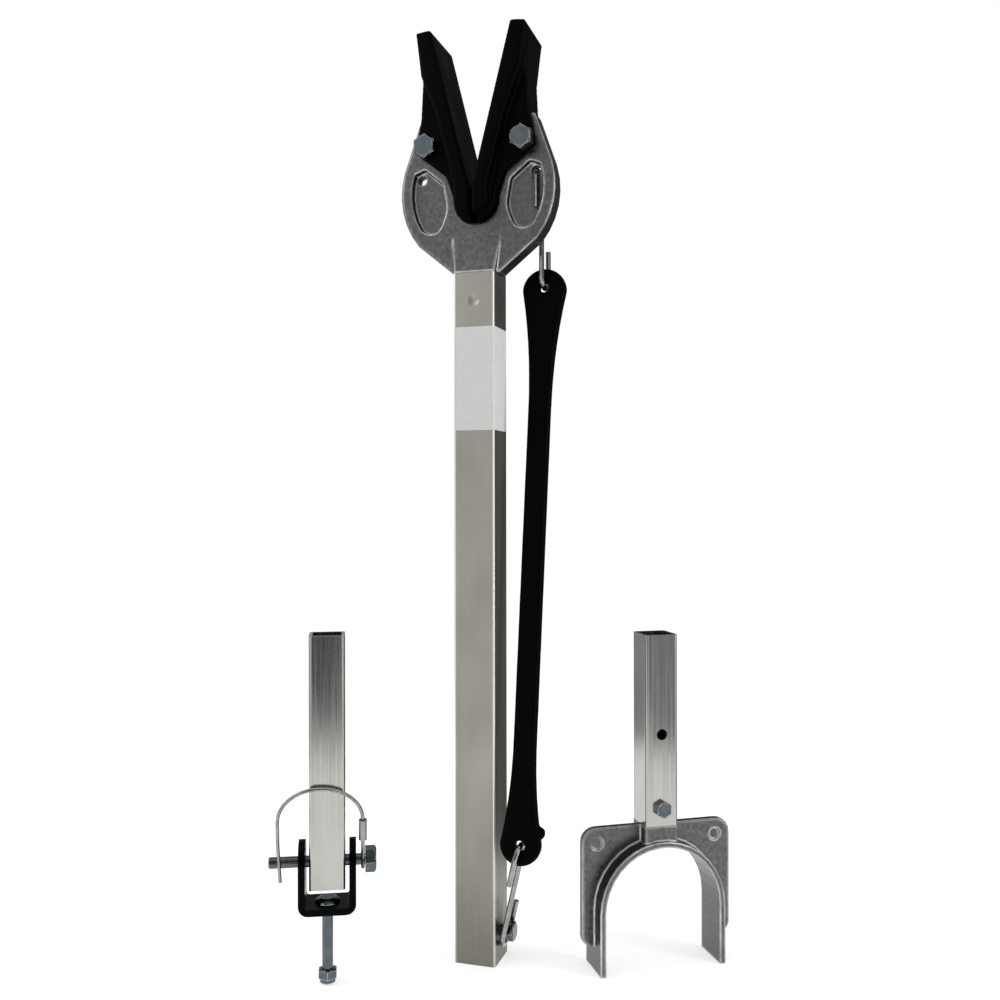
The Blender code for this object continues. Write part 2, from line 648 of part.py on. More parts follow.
def clevis_bracket(leg):
    """A flat bar bent to a U, with round ears that the hitch pin goes through."""
    outer = clevis_half_width()
    inner = 0.5 * CLEVIS_INSIDE
    depth = 0.5 * CLEVIS_DEPTH
    top = PIN_HEIGHT + 2.0 * depth
    floor = CLEVIS_BASE + CLEVIS_PLATE
    inner_bend = CLEVIS_BEND - CLEVIS_PLATE
    profile = rounded([
        (outer, CLEVIS_BASE, CLEVIS_BEND),
        (outer, top, 0.0),
        (inner, top, 0.0),
        (inner, floor, inner_bend),
        (-inner, floor, inner_bend),
        (-inner, top, 0.0),
        (-outer, top, 0.0),
        (-outer, CLEVIS_BASE, CLEVIS_BEND),
    ])
    clevis = piece("clevis_bracket", upright(profile, -CLEVIS_DEPTH, CLEVIS_DEPTH), "black_paint", leg)
    side = [(-depth, 0.0), (depth, 0.0)] + arc((0.0, PIN_HEIGHT), depth, 0.0, 180.0)
    combine(clevis, loft([[(x, y, z) for y, z in side] for x in (-2.0 * outer, 2.0 * outer)]), "INTERSECT")
    cut(clevis, rod(PIN_RADIUS + HOLE_GAP, -2.0 * outer, 2.0 * outer, "X", (0.0, 0.0, PIN_HEIGHT)))
    cut(clevis, rod(0.5 * LOCK_NUT[0] + HOLE_GAP, 0.0, floor + CLEVIS_PLATE))


def bracket_bolt(leg):
    """A carriage bolt with its domed head inside the clevis, and a lock nut near its lower end."""
    seat = CLEVIS_BASE + CLEVIS_PLATE + SEAT_GAP
    shank = circle(0.5 * LOCK_NUT[0], HEX_SIDES)
    tip = circle(0.5 * TIP_SHARE * LOCK_NUT[0], HEX_SIDES)
    rings = [ring(tip, 0.0), ring(shank, TIP_TAPER * LOCK_NUT[0]), ring(shank, seat)]
    for share in (0.0, 0.35, 0.6, 0.8):
        reach = 0.5 * CARRIAGE_HEAD * math.sqrt(1.0 - share ** 2)
        rings.append(ring(circle(reach, HEX_SIDES), seat + CARRIAGE_DOME * share))
    piece("bracket_bolt", loft(rings), "zinc_plate", leg)

    height = LOCK_NUT[2]
    bore = circle(0.5 * LOCK_NUT[0] + HOLE_GAP, HEX_SIDES)
    collar = circle(0.44 * LOCK_NUT[1], HEX_SIDES)
    nut = loft([
        ring(bore, 0.0),
        ring(collar, 0.0),
        ring(collar, 0.28 * height),
        ring(hexagon(LOCK_NUT[1]), 0.36 * height),
        ring(hexagon(LOCK_NUT[1]), 0.92 * height),
        ring(collar, height),
        ring(bore, height),
    ], True)
    piece("bracket_lock_nut", nut, "zinc_plate", leg, (0.0, 0.0, LOCK_NUT_LOW))


def hitch_pin(leg):
    """The pin that the leg pivots on: plain shank, hex head, and a neck that the wire bail turns on."""
    shoulder = clevis_half_width() + PIN_NECK
    sizes = (2.0 * PIN_RADIUS, PIN_HEAD_FLATS, PIN_HEAD_LENGTH)
    place = (shoulder, 0.0, PIN_HEIGHT)
    pin = hex_bolt(sizes, shoulder + PIN_LEFT)
    piece("hitch_pin", pin, "zinc_plate", leg, place, (0.0, math.pi / 2.0, 0.0))


def wire_bail(leg):
    """The spring wire that keeps the pin in: an eye round its neck, an arch, and a tail past its end."""
    clear = PIN_RADIUS + 0.5 * BAIL_WIRE + SEAT_GAP
    right = clevis_half_width() + PIN_NECK - SEAT_GAP - 0.5 * BAIL_WIRE
    middle = 0.5 * (right - BAIL_LEFT)
    half_span = 0.5 * (right + BAIL_LEFT)
    crown = BAIL_REACH - BAIL_SHOULDER
    path = [(-BAIL_LEFT + 0.5 * BAIL_WIRE, -clear, -BAIL_TAIL), (-BAIL_LEFT, -clear, 0.5 * BAIL_SHOULDER)]
    for x, z in arc((0.0, 0.0), 1.0, 180.0, 0.0):
        path.append((middle + half_span * x, -clear, BAIL_SHOULDER + crown * z))
    for y, z in arc((0.0, 0.0), clear, 180.0, BAIL_EYE_END):
        path.append((right, y, z))
    place = (0.0, 0.0, PIN_HEIGHT)
    tilt = (BAIL_TILT, 0.0, 0.0)
    piece("wire_bail", wire(path, BAIL_WIRE), "bright_wire", leg, place, tilt)

    bore = circle(0.5 * BAIL_WIRE + SEAT_GAP, ROUND_SIDES, (right, -clear))
    skin = circle(0.5 * BAIL_WIRE + SEAT_GAP + FERRULE_WALL, ROUND_SIDES, (right, -clear))
    low, high = FERRULE_LOW, FERRULE_LOW + FERRULE_LENGTH
    sleeve = loft([ring(bore, low), ring(skin, low), ring(skin, high), ring(bore, high)], True)
    piece("bail_ferrule", sleeve, "bright_wire", leg, place, tilt)


def build_bracket_leg(leg):
    tube = square_tube(LEG_SIDE, LEG_WALL, LEG_CORNER, BRACKET_TUBE_LOW, BRACKET_TUBE_LENGTH)
    tube = piece("bracket_leg_tube", tube, "mill_aluminium", leg)
    cut(tube, rod(PIN_RADIUS + HOLE_GAP, -LEG_SIDE, LEG_SIDE, "X", (0.0, 0.0, PIN_HEIGHT)))
    clevis_bracket(leg)
    bracket_bolt(leg)
    hitch_pin(leg)
    wire_bail(leg)


def arch_outline(outer, inner, foot):
    """An arch of one thickness on straight legs, from its foot height up."""
    legs = [(outer, foot)] + arc((0.0, ARCH_HEIGHT), outer, 0.0, 180.0) + [(-outer, foot)]
    return legs + [(-inner, foot)] + arc((0.0, ARCH_HEIGHT), inner, 180.0, 0.0) + [(inner, foot)]


def yoke_casting(leg):
    """The cast yoke: a deep arch band, a flat web at its shoulders, and a boss with a stem."""
    half = 0.5 * YOKE_WIDTH
    top = YOKE_TUBE_LOW - SEAT_GAP
    under_web = ARCH_RADIUS + 0.5 * ARCH_BAND
    corners = [
        (half, YOKE_WEB_FOOT, 0.7 * YOKE_WEB_CORNER),
        (half, top, YOKE_WEB_CORNER),
        (-half, top, YOKE_WEB_CORNER),
        (-half, YOKE_WEB_FOOT, 0.7 * YOKE_WEB_CORNER),
        (-under_web, YOKE_WEB_FOOT, 0.0),
    ]
    corners += [(x, z, 0.0) for x, z in arc((0.0, ARCH_HEIGHT), under_web, 180.0, 0.0)]
    corners.append((under_web, YOKE_WEB_FOOT, 0.0))
    face = 0.5 * YOKE_WEB
    yoke = piece("yoke_casting", upright(rounded(corners), -face, face), "cast_aluminium", leg)
    bevel(yoke, 0.2 * YOKE_WEB)
    band = arch_outline(ARCH_RADIUS + ARCH_BAND, ARCH_RADIUS, 0.0)
    join(yoke, upright(band, -0.5 * ARCH_DEPTH, 0.5 * ARCH_DEPTH))
    boss = box_outline(YOKE_BOSS, LEG_SIDE, LEG_CORNER)
    join(yoke, loft([ring(boss, ARCH_HEIGHT + ARCH_RADIUS + 0.5 * ARCH_BAND), ring(boss, top)]))
    stem_side = LEG_SIDE - 2.0 * LEG_WALL - 2.0 * SEAT_GAP
    stem = box_outline(stem_side, stem_side, LEG_CORNER)
    join(yoke, loft([ring(stem, top - ARCH_BAND), ring(stem, top + YOKE_STEM_LENGTH)]))
    cut(yoke, rod(0.5 * YOKE_BOLT[0] + HOLE_GAP, -LEG_SIDE, LEG_SIDE, "Y", (0.0, 0.0, YOKE_BOLT_HEIGHT)))
    for side in (-1, 1):
        mark = (side * (half - MARK_INSET), -face, top - MARK_INSET)
        cut(yoke, rod(MARK_RADIUS, -MARK_DEPTH, MARK_DEPTH, "Y", mark))


def build_yoke_leg(leg):
    tube = square_tube(LEG_SIDE, LEG_WALL, LEG_CORNER, YOKE_TUBE_LOW, YOKE_TUBE_LENGTH)
    tube = piece("yoke_leg_tube", tube, "mill_aluminium", leg)
    bolt_radius = 0.5 * YOKE_BOLT[0] + HOLE_GAP
    for radius, height in ((ADJUST_HOLE_RADIUS, ADJUST_HOLE_HEIGHT), (bolt_radius, YOKE_BOLT_HEIGHT)):
        cut(tube, rod(radius, -LEG_SIDE, LEG_SIDE, "Y", (0.0, 0.0, height)))
    yoke_casting(leg)
    seat = 0.5 * LEG_SIDE + SEAT_GAP
    nut_height = NUT_SHARE * YOKE_BOLT[0]
    bolt = hex_bolt(YOKE_BOLT, 2.0 * seat + nut_height + BOLT_REACH)
    piece("yoke_bolt", bolt, "zinc_plate", leg, (0.0, -seat, YOKE_BOLT_HEIGHT), (math.pi / 2.0, 0.0, 0.0))
    nut = hex_nut(YOKE_BOLT, nut_height)
    piece("yoke_nut", nut, "zinc_plate", leg, (0.0, seat, YOKE_BOLT_HEIGHT), (-math.pi / 2.0, 0.0, 0.0))


def main():
    clear_scene()
    kit = empty("kit", None, (-KIT_CENTRE[0], -KIT_CENTRE[1], 0.0))
    build_strut(empty("strut", kit))
    build_bracket_leg(empty("bracket_leg", kit, (*BRACKET_PLACE, 0.0), BRACKET_TURN))
    build_yoke_leg(empty("yoke_leg", kit, (*YOKE_PLACE, 0.0), YOKE_TURN))


main()
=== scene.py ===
"""Looks of the outboard motor support kit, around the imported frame.

Finishes for the CAD pieces, moulded rubber pieces, a blank sticker, the studio and the camera.
Metres, +Z up.
"""

import json
import math

import bmesh
import bpy
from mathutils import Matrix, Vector

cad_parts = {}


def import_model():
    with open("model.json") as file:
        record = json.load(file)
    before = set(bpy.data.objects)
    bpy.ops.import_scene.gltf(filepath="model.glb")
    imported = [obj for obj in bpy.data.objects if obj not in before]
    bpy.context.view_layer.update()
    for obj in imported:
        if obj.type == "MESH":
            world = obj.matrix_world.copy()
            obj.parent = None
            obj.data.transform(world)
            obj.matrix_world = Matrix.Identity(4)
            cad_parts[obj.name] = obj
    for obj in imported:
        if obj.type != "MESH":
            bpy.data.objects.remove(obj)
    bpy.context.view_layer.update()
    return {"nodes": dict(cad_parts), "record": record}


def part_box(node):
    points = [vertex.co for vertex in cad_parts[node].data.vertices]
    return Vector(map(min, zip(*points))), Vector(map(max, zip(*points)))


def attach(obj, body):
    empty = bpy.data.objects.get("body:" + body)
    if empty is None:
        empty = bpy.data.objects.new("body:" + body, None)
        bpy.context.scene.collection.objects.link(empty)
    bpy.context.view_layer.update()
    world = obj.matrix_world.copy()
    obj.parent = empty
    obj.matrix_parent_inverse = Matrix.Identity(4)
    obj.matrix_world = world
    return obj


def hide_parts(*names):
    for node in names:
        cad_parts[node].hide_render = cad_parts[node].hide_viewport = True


MM = 0.001

# Camera: level, at the photograph's angle. Pixels are those of the 1000 x 1000 photograph.
PHOTO_SIDE = 1000.0
FOCAL_PIXELS = 1067.0
HORIZON_PIXEL = 495.0
SENSOR_MM = 36.0
CAMERA_AZIMUTH = math.radians(17.2)
CAMERA_ROLL = math.radians(-0.1)
CAMERA_HEIGHT = 349.3 * MM
CAMERA_DISTANCE = 808.0 * MM
STRUT_OFFSET = -14.7 * MM

# Studio.
FLOOR_SIDE = 8.0
FLOOR_COLOUR = (0.82, 0.82, 0.82, 1.0)
FLOOR_LIFT = 0.6
WORLD_LEVEL = 0.5
SCREEN_HEIGHT = 1.6
SCREEN_SIDES = 72
WHITE = (1.0, 1.0, 1.0, 1.0)
BLACK = (0.0, 0.0, 0.0, 1.0)

# Soft boxes: place, point that they face, width and height, power in watts.
LAMPS = {
    "key": ((-1.5, -0.7, 1.3), (0.0, 0.0, 0.35), (0.9, 0.9), 9.0),
    "strip": ((1.33, -0.18, 0.55), (0.0, 0.0, 0.55), (0.25, 1.1), 6.0),
}

# Reflecting screen round the object: direction in degrees from +X towards +Y, distance, brightness.
SCREEN_PANELS = [
    (-180.0, 0.75, 0.60),
    (-120.0, 0.75, 0.95),
    (-98.0, 0.78, 0.95),
    (-88.0, 0.85, 0.13),
    (-68.0, 0.85, 0.13),
    (-60.0, 0.78, 0.90),
    (-46.0, 0.75, 0.90),
    (-38.0, 0.75, 0.30),
    (-18.0, 0.75, 0.30),
    (-8.0, 0.75, 0.95),
    (8.0, 0.60, 0.95),
    (24.0, 0.40, 0.20),
    (60.0, 0.24, 0.10),
    (88.0, 0.24, 0.10),
    (110.0, 0.40, 0.30),
    (145.0, 0.75, 0.42),
    (180.0, 0.75, 0.60),
]

# Share of a panel's brightness at each height.
SCREEN_SHARES = [(0.0, 0.85), (0.35, 1.0), (0.56, 0.78), (0.7, 1.0), (SCREEN_HEIGHT, 1.0)]

# Finishes: dark and light tone, tone of the bright corners or rims, which are painted highlights (on the
# castings partly wear), and range of roughness.
SATIN_TONES = ((0.34, 0.325, 0.29), (0.40, 0.385, 0.345))
SATIN_CORNER_HIGHLIGHT = (0.95, 0.94, 0.91)
SATIN_ROUGHNESS = (0.34, 0.48)
MILL_TONES = ((0.43, 0.42, 0.40), (0.50, 0.49, 0.465))
MILL_EDGE_HIGHLIGHT = (0.52, 0.51, 0.49)
MILL_ROUGHNESS = (0.11, 0.25)
CORNER_SHADE = 0.9
CAST_TONES = ((0.095, 0.094, 0.093), (0.16, 0.158, 0.156))
CAST_RIM_WEAR_AND_HIGHLIGHT_TONES = ((0.80, 0.80, 0.79), (0.92, 0.92, 0.91))
CAST_ROUGHNESS = (0.26, 0.42)
RUBBER_TONES = ((0.0008, 0.0007, 0.0008), (0.002, 0.0018, 0.002))
RUBBER_ROUGHNESS = (0.36, 0.5)
PAINT_TONES = ((0.0012, 0.0012, 0.0012), (0.003, 0.003, 0.0032))
PAINT_ROUGHNESS = (0.22, 0.34)
BLACK_SHINE = 0.03
# Zinc's tones are darker than the plating's own: a painted dark reflection.
ZINC_DARK_REFLECTION_TONES = ((0.085, 0.106, 0.115), (0.12, 0.142, 0.153))
ZINC_ROUGHNESS = (0.18, 0.26)
WIRE_TONES = ((0.27, 0.27, 0.265), (0.36, 0.36, 0.355))
WIRE_ROUGHNESS = (0.16, 0.24)
PLATED_HIGHLIGHT_TONES = ((0.88, 0.90, 0.90), (0.94, 0.95, 0.95))
VINYL_TONES = ((0.86, 0.86, 0.85), (0.90, 0.90, 0.89))
VINYL_ROUGHNESS = (0.45, 0.6)
VINYL_SHINE = 0.2

# Patterns: marks per metre, layers of detail, stretch along X, Y and Z.
EVEN = (1.0, 1.0, 1.0)
DRAWN = (1.0, 1.0, 0.012)
SATIN_LINES = (700.0, 3.0, DRAWN)
MILL_LINES = (900.0, 3.0, DRAWN)
TUBE_CLOUDS = (30.0, 4.0, (1.0, 1.0, 0.5))
CAST_MOTTLE = (330.0, 9.0, EVEN)
CAST_GRAIN = (900.0, 3.0, EVEN)
CAST_PATCHES = (70.0, 2.0, EVEN)
RUBBER_BLOOM = (40.0, 5.0, (1.0, 1.0, 0.4))
RUBBER_GRAIN = (1500.0, 2.0, EVEN)
PAINT_PEEL = (500.0, 2.0, EVEN)
PAINT_DUST = (60.0, 5.0, EVEN)
PLATE_CLOUDS = (150.0, 3.0, EVEN)
VINYL_SOIL = (120.0, 5.0, EVEN)

# Part of a pattern's range that runs from the dark tone to the light one.
PATTERN_RANGE = (0.3, 0.7)
CLOUD_RANGE = (0.35, 0.65)
MOTTLE_RANGE = (0.35, 0.68)
DUST_RANGE = (0.35, 0.7)

# Fine relief: depth and strength.
DRAWN_RELIEF = (0.04 * MM, 1.0)
CAST_RELIEF = (0.1 * MM, 0.6)
RUBBER_RELIEF = (0.05 * MM, 0.5)
PAINT_RELIEF = (0.06 * MM, 0.5)

# Blank sticker that wraps the strut's front and right faces.
LABEL_LOW = 397.5 * MM
LABEL_HIGH = 474.5 * MM
LABEL_MARGIN = 1.9 * MM
LABEL_LIFT = 0.03 * MM
LABEL_THICKNESS = 0.16 * MM
LABEL_CORNER_STEPS = 6

# Bright rims, painted highlights that on the castings are partly wear: their width on the castings, the
# plated fasteners and the legs' sawn tubes, how much a normal turns where a rim starts and where it is
# full, and the least and most brightness of a casting's rim, which varies in patches.
CASTING_RIM = 2.6 * MM
PLATED_RIM = 0.8 * MM
SAWN_RIM = 0.8 * MM
RIM_SAMPLES = 6
RIM_TURN = (0.02, 0.2)
CASTING_RIM_TURN = (0.004, 0.07)
CASTING_WEAR_AND_HIGHLIGHT = (0.4, 1.0)

# The strut's tube: rounding of its corners, fade of the painted highlight along them, tone and reach of the
# painted shade at its foot.
TUBE_CORNER = 1.4 * MM
CORNER_FADE = 0.3 * MM
FOOT_SHADE_TONE = 0.55
FOOT_REACH = 150.0 * MM

# Rubber pieces: mesh size and rounding passes.
RUBBER_VOXEL = 0.9 * MM
RUBBER_PASSES = 7

# Rubber pads: height above the tube of the V's point, of the bend in the pad's back and of the tip, reach
# of the bend, half the V's width at its tip, depth of the inner face's skin, and how far the moulding sinks
# at the V's point, swells at the bend and presses into its seat.
PAD_POINT = 63.0 * MM
PAD_BEND = 147.0 * MM
PAD_BEND_REACH = 29.0 * MM
PAD_TIP = 180.5 * MM
PAD_SPREAD = 31.0 * MM
PAD_SKIN = 6.0 * MM
PAD_SINK = 1.7 * MM
PAD_SWELL = 4.0 * MM
PAD_PRESS = 0.6 * MM


def shader_of(name):
    """A new material, with its node tree and its principled shader."""
    material = bpy.data.materials.new(name)
    material.use_nodes = True
    return material, material.node_tree, material.node_tree.nodes["Principled BSDF"]


def add(tree, kind, **settings):
    """A node with its settings and its inputs' plain values."""
    node = tree.nodes.new("ShaderNode" + kind)
    for key, value in settings.items():
        if hasattr(node, key):
            setattr(node, key, value)
        else:
            node.inputs[key.replace("_", " ").title()].default_value = value
    return node


def position(tree):
    """X, Y and Z of a point in the object's own frame."""
    place = tree.nodes.new("ShaderNodeTexCoord")
    parts = tree.nodes.new("ShaderNodeSeparateXYZ")
    tree.links.new(place.outputs["Object"], parts.inputs["Vector"])
    return parts.outputs


def noise(tree, pattern):
    """Noise over the object's own frame, with a pattern's marks, detail and stretch."""
    marks, detail, stretch = pattern
    place = tree.nodes.new("ShaderNodeTexCoord")
    mapping = tree.nodes.new("ShaderNodeMapping")
    mapping.inputs["Scale"].default_value = stretch
    texture = add(tree, "TexNoise", scale=marks, detail=detail)
    tree.links.new(place.outputs["Object"], mapping.inputs["Vector"])
    tree.links.new(mapping.outputs["Vector"], texture.inputs["Vector"])
    return texture.outputs["Fac"]


def ramp(tree, value, stops):
    """Colours between stops, each a place and a colour."""
    node = add(tree, "ValToRGB")
    elements = node.color_ramp.elements
    while len(elements) < len(stops):
        elements.new(1.0)
    for element, (place, colour) in zip(elements, stops):
        element.position = place
        element.color = (*colour, 1.0)
    tree.links.new(value, node.inputs["Fac"])
    return node.outputs["Color"]


def tones(tree, value, pair, limits=PATTERN_RANGE):
    """Colours from the first of a pair to the second as value runs between its limits."""
    return ramp(tree, value, list(zip(limits, pair)))


def spread(tree, value, low, high, start=PATTERN_RANGE[0], end=PATTERN_RANGE[1]):
    """A number that runs from low to high as value runs from start to end."""
    node = add(tree, "MapRange")
    for key, number in (("From Min", start), ("From Max", end), ("To Min", low), ("To Max", high)):
        node.inputs[key].default_value = number
    tree.links.new(value, node.inputs["Value"])
    return node.outputs["Result"]


def mix(tree, factor, first, second):
    """A colour between two colour outputs."""
    node = add(tree, "Mix", data_type="RGBA")
    tree.links.new(factor, node.inputs["Factor"])
    tree.links.new(first, node.inputs["A"])
    tree.links.new(second, node.inputs["B"])
    return node.outputs["Result"]


def bump(tree, shader, height, relief, rounding=0.0):
    """Fine relief on a surface, whose sharp edges shine as if rounded by a radius."""
    depth, strength = relief
    node = add(tree, "Bump", strength=strength, distance=depth)
    tree.links.new(height, node.inputs["Height"])
    if rounding > 0.0:
        rounded = add(tree, "Bevel", samples=RIM_SAMPLES, radius=rounding)
        tree.links.new(rounded.outputs["Normal"], node.inputs["Normal"])
    tree.links.new(node.outputs["Normal"], shader.inputs["Normal"])


def edges(tree, radius, turn=RIM_TURN):
    """1 along the edges of a solid and 0 on its faces."""
    start, full = turn
    rounded = add(tree, "Bevel", samples=RIM_SAMPLES, radius=radius)
    flat = tree.nodes.new("ShaderNodeNewGeometry")
    dot = add(tree, "VectorMath", operation="DOT_PRODUCT")
    tree.links.new(rounded.outputs["Normal"], dot.inputs[0])
    tree.links.new(flat.outputs["Normal"], dot.inputs[1])
    return spread(tree, dot.outputs["Value"], 1.0, 0.0, 1.0 - full, 1.0 - start)


def painted_foot_shade(tree, colour):
    """A colour darkened towards the floor, painted shade at the foot of a tube that stands on the ground.
    """
    node = add(tree, "Mix", data_type="RGBA", blend_type="MULTIPLY")
    node.inputs["Factor"].default_value = 1.0
    tree.links.new(colour, node.inputs["A"])
    tree.links.new(spread(tree, position(tree)["Z"], FOOT_SHADE_TONE, 1.0, 0.0, FOOT_REACH), node.inputs["B"])
    return node.outputs["Result"]


def corner_highlight_mask(tree, low, high):
    """1 along the upright corners of a square tube with this box, where a painted highlight goes, and 0 on
    its faces.
    """
    place = position(tree)
    least = add(tree, "Math", operation="MINIMUM")
    for i, axis in enumerate("XY"):
        offset = add(tree, "Math", operation="SUBTRACT")
        tree.links.new(place[axis], offset.inputs[0])
        offset.inputs[1].default_value = 0.5 * (low[i] + high[i])
        size = add(tree, "Math", operation="ABSOLUTE")
        tree.links.new(offset.outputs["Value"], size.inputs[0])
        tree.links.new(size.outputs["Value"], least.inputs[i])
    start = 0.5 * (high.x - low.x) - TUBE_CORNER - CORNER_FADE
    return spread(tree, least.outputs["Value"], 0.0, 1.0, start, start + 2.0 * CORNER_FADE)


def aluminium(name, pair, corner, roughness, line_pattern, tube=None):
    """Drawn aluminium: fine lines, cloudy tone and painted highlights, along a given tube's corners (with
    painted shade towards its foot) or else on sawn edges.
    """
    material, tree, shader = shader_of(name)
    lines = noise(tree, line_pattern)
    base = tones(tree, noise(tree, TUBE_CLOUDS), pair, CLOUD_RANGE)
    # Painted highlight: bright tone for the tube's corners or the sawn edges.
    rim = tones(tree, lines, (corner, [CORNER_SHADE * c for c in corner]))
    if tube:
        # Painted shade darkens the strut's tube towards its foot.
        colour = painted_foot_shade(tree, mix(tree, corner_highlight_mask(tree, *tube), base, rim))
    else:
        colour = mix(tree, edges(tree, SAWN_RIM), base, rim)
    tree.links.new(colour, shader.inputs["Base Color"])
    tree.links.new(spread(tree, lines, *roughness), shader.inputs["Roughness"])
    shader.inputs["Metallic"].default_value = 1.0
    bump(tree, shader, lines, DRAWN_RELIEF)
    return material


def casting(name):
    """Tumbled die casting: mottled grey, fine pits, rims bright in patches, partly wear and partly painted
    highlight.
    """
    material, tree, shader = shader_of(name)
    mottle = noise(tree, CAST_MOTTLE)
    grain = noise(tree, CAST_GRAIN)
    base = tones(tree, mottle, CAST_TONES, MOTTLE_RANGE)
    rim = tones(tree, grain, CAST_RIM_WEAR_AND_HIGHLIGHT_TONES)
    # Bright rims in patches: partly worn metal, partly a painted highlight on the edges.
    rim_wear_and_highlight = add(tree, "Math", operation="MULTIPLY")
    tree.links.new(edges(tree, CASTING_RIM, CASTING_RIM_TURN), rim_wear_and_highlight.inputs[0])
    tree.links.new(spread(tree, noise(tree, CAST_PATCHES), *CASTING_WEAR_AND_HIGHLIGHT), rim_wear_and_highlight.inputs[1])
    tree.links.new(mix(tree, rim_wear_and_highlight.outputs["Value"], base, rim), shader.inputs["Base Color"])
    tree.links.new(spread(tree, mottle, *CAST_ROUGHNESS), shader.inputs["Roughness"])
    shader.inputs["Metallic"].default_value = 1.0
    bump(tree, shader, grain, CAST_RELIEF, CASTING_RIM)
    return material


def rubber(name):
    """Moulded black rubber: dull skin with a faint bloom and fine grain."""
    material, tree, shader = shader_of(name)
    bloom = noise(tree, RUBBER_BLOOM)
    tree.links.new(tones(tree, bloom, RUBBER_TONES), shader.inputs["Base Color"])
    tree.links.new(spread(tree, bloom, *RUBBER_ROUGHNESS), shader.inputs["Roughness"])
    shader.inputs["Specular IOR Level"].default_value = BLACK_SHINE
    bump(tree, shader, noise(tree, RUBBER_GRAIN), RUBBER_RELIEF)
    return material


def paint(name):
    """Gloss black powder coat with a slight orange peel."""
    material, tree, shader = shader_of(name)
    dust = noise(tree, PAINT_DUST)
    tree.links.new(tones(tree, dust, PAINT_TONES, DUST_RANGE), shader.inputs["Base Color"])
    tree.links.new(spread(tree, dust, *PAINT_ROUGHNESS), shader.inputs["Roughness"])
    shader.inputs["Specular IOR Level"].default_value = BLACK_SHINE
    bump(tree, shader, noise(tree, PAINT_PEEL), PAINT_RELIEF)
    return material


def plating(name, pair, roughness, rim_width=0.0):
    """Zinc plate or drawn wire: metal with a slight cloud and, where it has a rim width, a painted
    highlight along its edges.
    """
    material, tree, shader = shader_of(name)
    cloud = noise(tree, PLATE_CLOUDS)
    colour = tones(tree, cloud, pair, CLOUD_RANGE)
    if rim_width > 0.0:
        # Painted highlight along the edges of plated parts.
        colour = mix(tree, edges(tree, rim_width), colour, tones(tree, cloud, PLATED_HIGHLIGHT_TONES))
    tree.links.new(colour, shader.inputs["Base Color"])
    tree.links.new(spread(tree, cloud, *roughness), shader.inputs["Roughness"])
    shader.inputs["Metallic"].default_value = 1.0
    return material


def vinyl(name):
    """Matt off-white sticker, slightly soiled."""
    material, tree, shader = shader_of(name)
    soil = noise(tree, VINYL_SOIL)
    tree.links.new(tones(tree, soil, VINYL_TONES), shader.inputs["Base Color"])
    tree.links.new(spread(tree, soil, *VINYL_ROUGHNESS), shader.inputs["Roughness"])
    shader.inputs["Specular IOR Level"].default_value = VINYL_SHINE
    return material


def finishes(strut_tube):
    """One material for each slot of the record."""
    return {
        "satin_aluminium": aluminium("satin_aluminium", SATIN_TONES, SATIN_CORNER_HIGHLIGHT, SATIN_ROUGHNESS,
                                     SATIN_LINES, strut_tube),
        "mill_aluminium": aluminium("mill_aluminium", MILL_TONES, MILL_EDGE_HIGHLIGHT, MILL_ROUGHNESS, MILL_LINES),
        "cast_aluminium": casting("cast_aluminium"),
        "black_rubber": rubber("black_rubber"),
        "black_paint": paint("black_paint"),
        # Zinc's dark tones are a painted dark reflection.
        "zinc_plate": plating("zinc_plate", ZINC_DARK_REFLECTION_TONES, ZINC_ROUGHNESS, PLATED_RIM),
        "bright_wire": plating("bright_wire", WIRE_TONES, WIRE_ROUGHNESS),
    }


def dress_nodes(frame, looks):
    """Each CAD node takes the material of its slot."""
    for entry in frame["record"]["subparts"]:
        mesh = frame["nodes"][entry["node"]].data
        mesh.materials.clear()
        mesh.materials.append(looks[entry["material_slot"]])


def apply_modifiers(obj):
    """Replaces an object's mesh by what its modifiers make of it."""
    bpy.context.view_layer.update()
    made = bpy.data.meshes.new_from_object(obj.evaluated_get(bpy.context.evaluated_depsgraph_get()))
    obj.modifiers.clear()
    obj.data = made


def share(value):
    """A number held between 0 and 1."""
    return min(1.0, max(0.0, value))


def fill_out(pad, strut_top):
    """Sinks a pad's inner face near the V's point, swells its back at the bend and presses its foot in."""
    middle = strut_top.x
    outward = [vertex.normal.copy() for vertex in pad.data.vertices]
    for vertex, normal in zip(pad.data.vertices, outward):
        side = 1.0 if vertex.co.x > middle else -1.0
        rise = vertex.co.z - strut_top.z
        climb = share((rise - PAD_POINT) / (PAD_TIP - PAD_POINT))
        depth = side * (vertex.co.x - middle) - PAD_SPREAD * climb
        inner = share(1.0 - depth / PAD_SKIN)
        outer = share(depth / PAD_SKIN - 1.0)
        bend = share(1.0 - abs(rise - PAD_BEND) / PAD_BEND_REACH)
        vertex.co += normal * PAD_PRESS * (1.0 - climb)
        vertex.co.x += side * (PAD_SINK * inner * (1.0 - climb) + PAD_SWELL * outer * bend)


def moulded(frame, node, body, material):
    """A rubber piece in its node's place, with the rounded edges and soft faces of a moulding."""
    obj = bpy.data.objects.new(node + "_moulded", frame["nodes"][node].data.copy())
    bpy.context.collection.objects.link(obj)
    remesh = obj.modifiers.new("remesh", "REMESH")
    remesh.mode = "VOXEL"
    remesh.voxel_size = RUBBER_VOXEL
    rounding = obj.modifiers.new("rounding", "SMOOTH")
    rounding.iterations = RUBBER_PASSES
    apply_modifiers(obj)
    obj.data.materials.clear()
    obj.data.materials.append(material)
    obj.data.shade_smooth()
    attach(obj, body)
    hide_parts(node)
    return obj


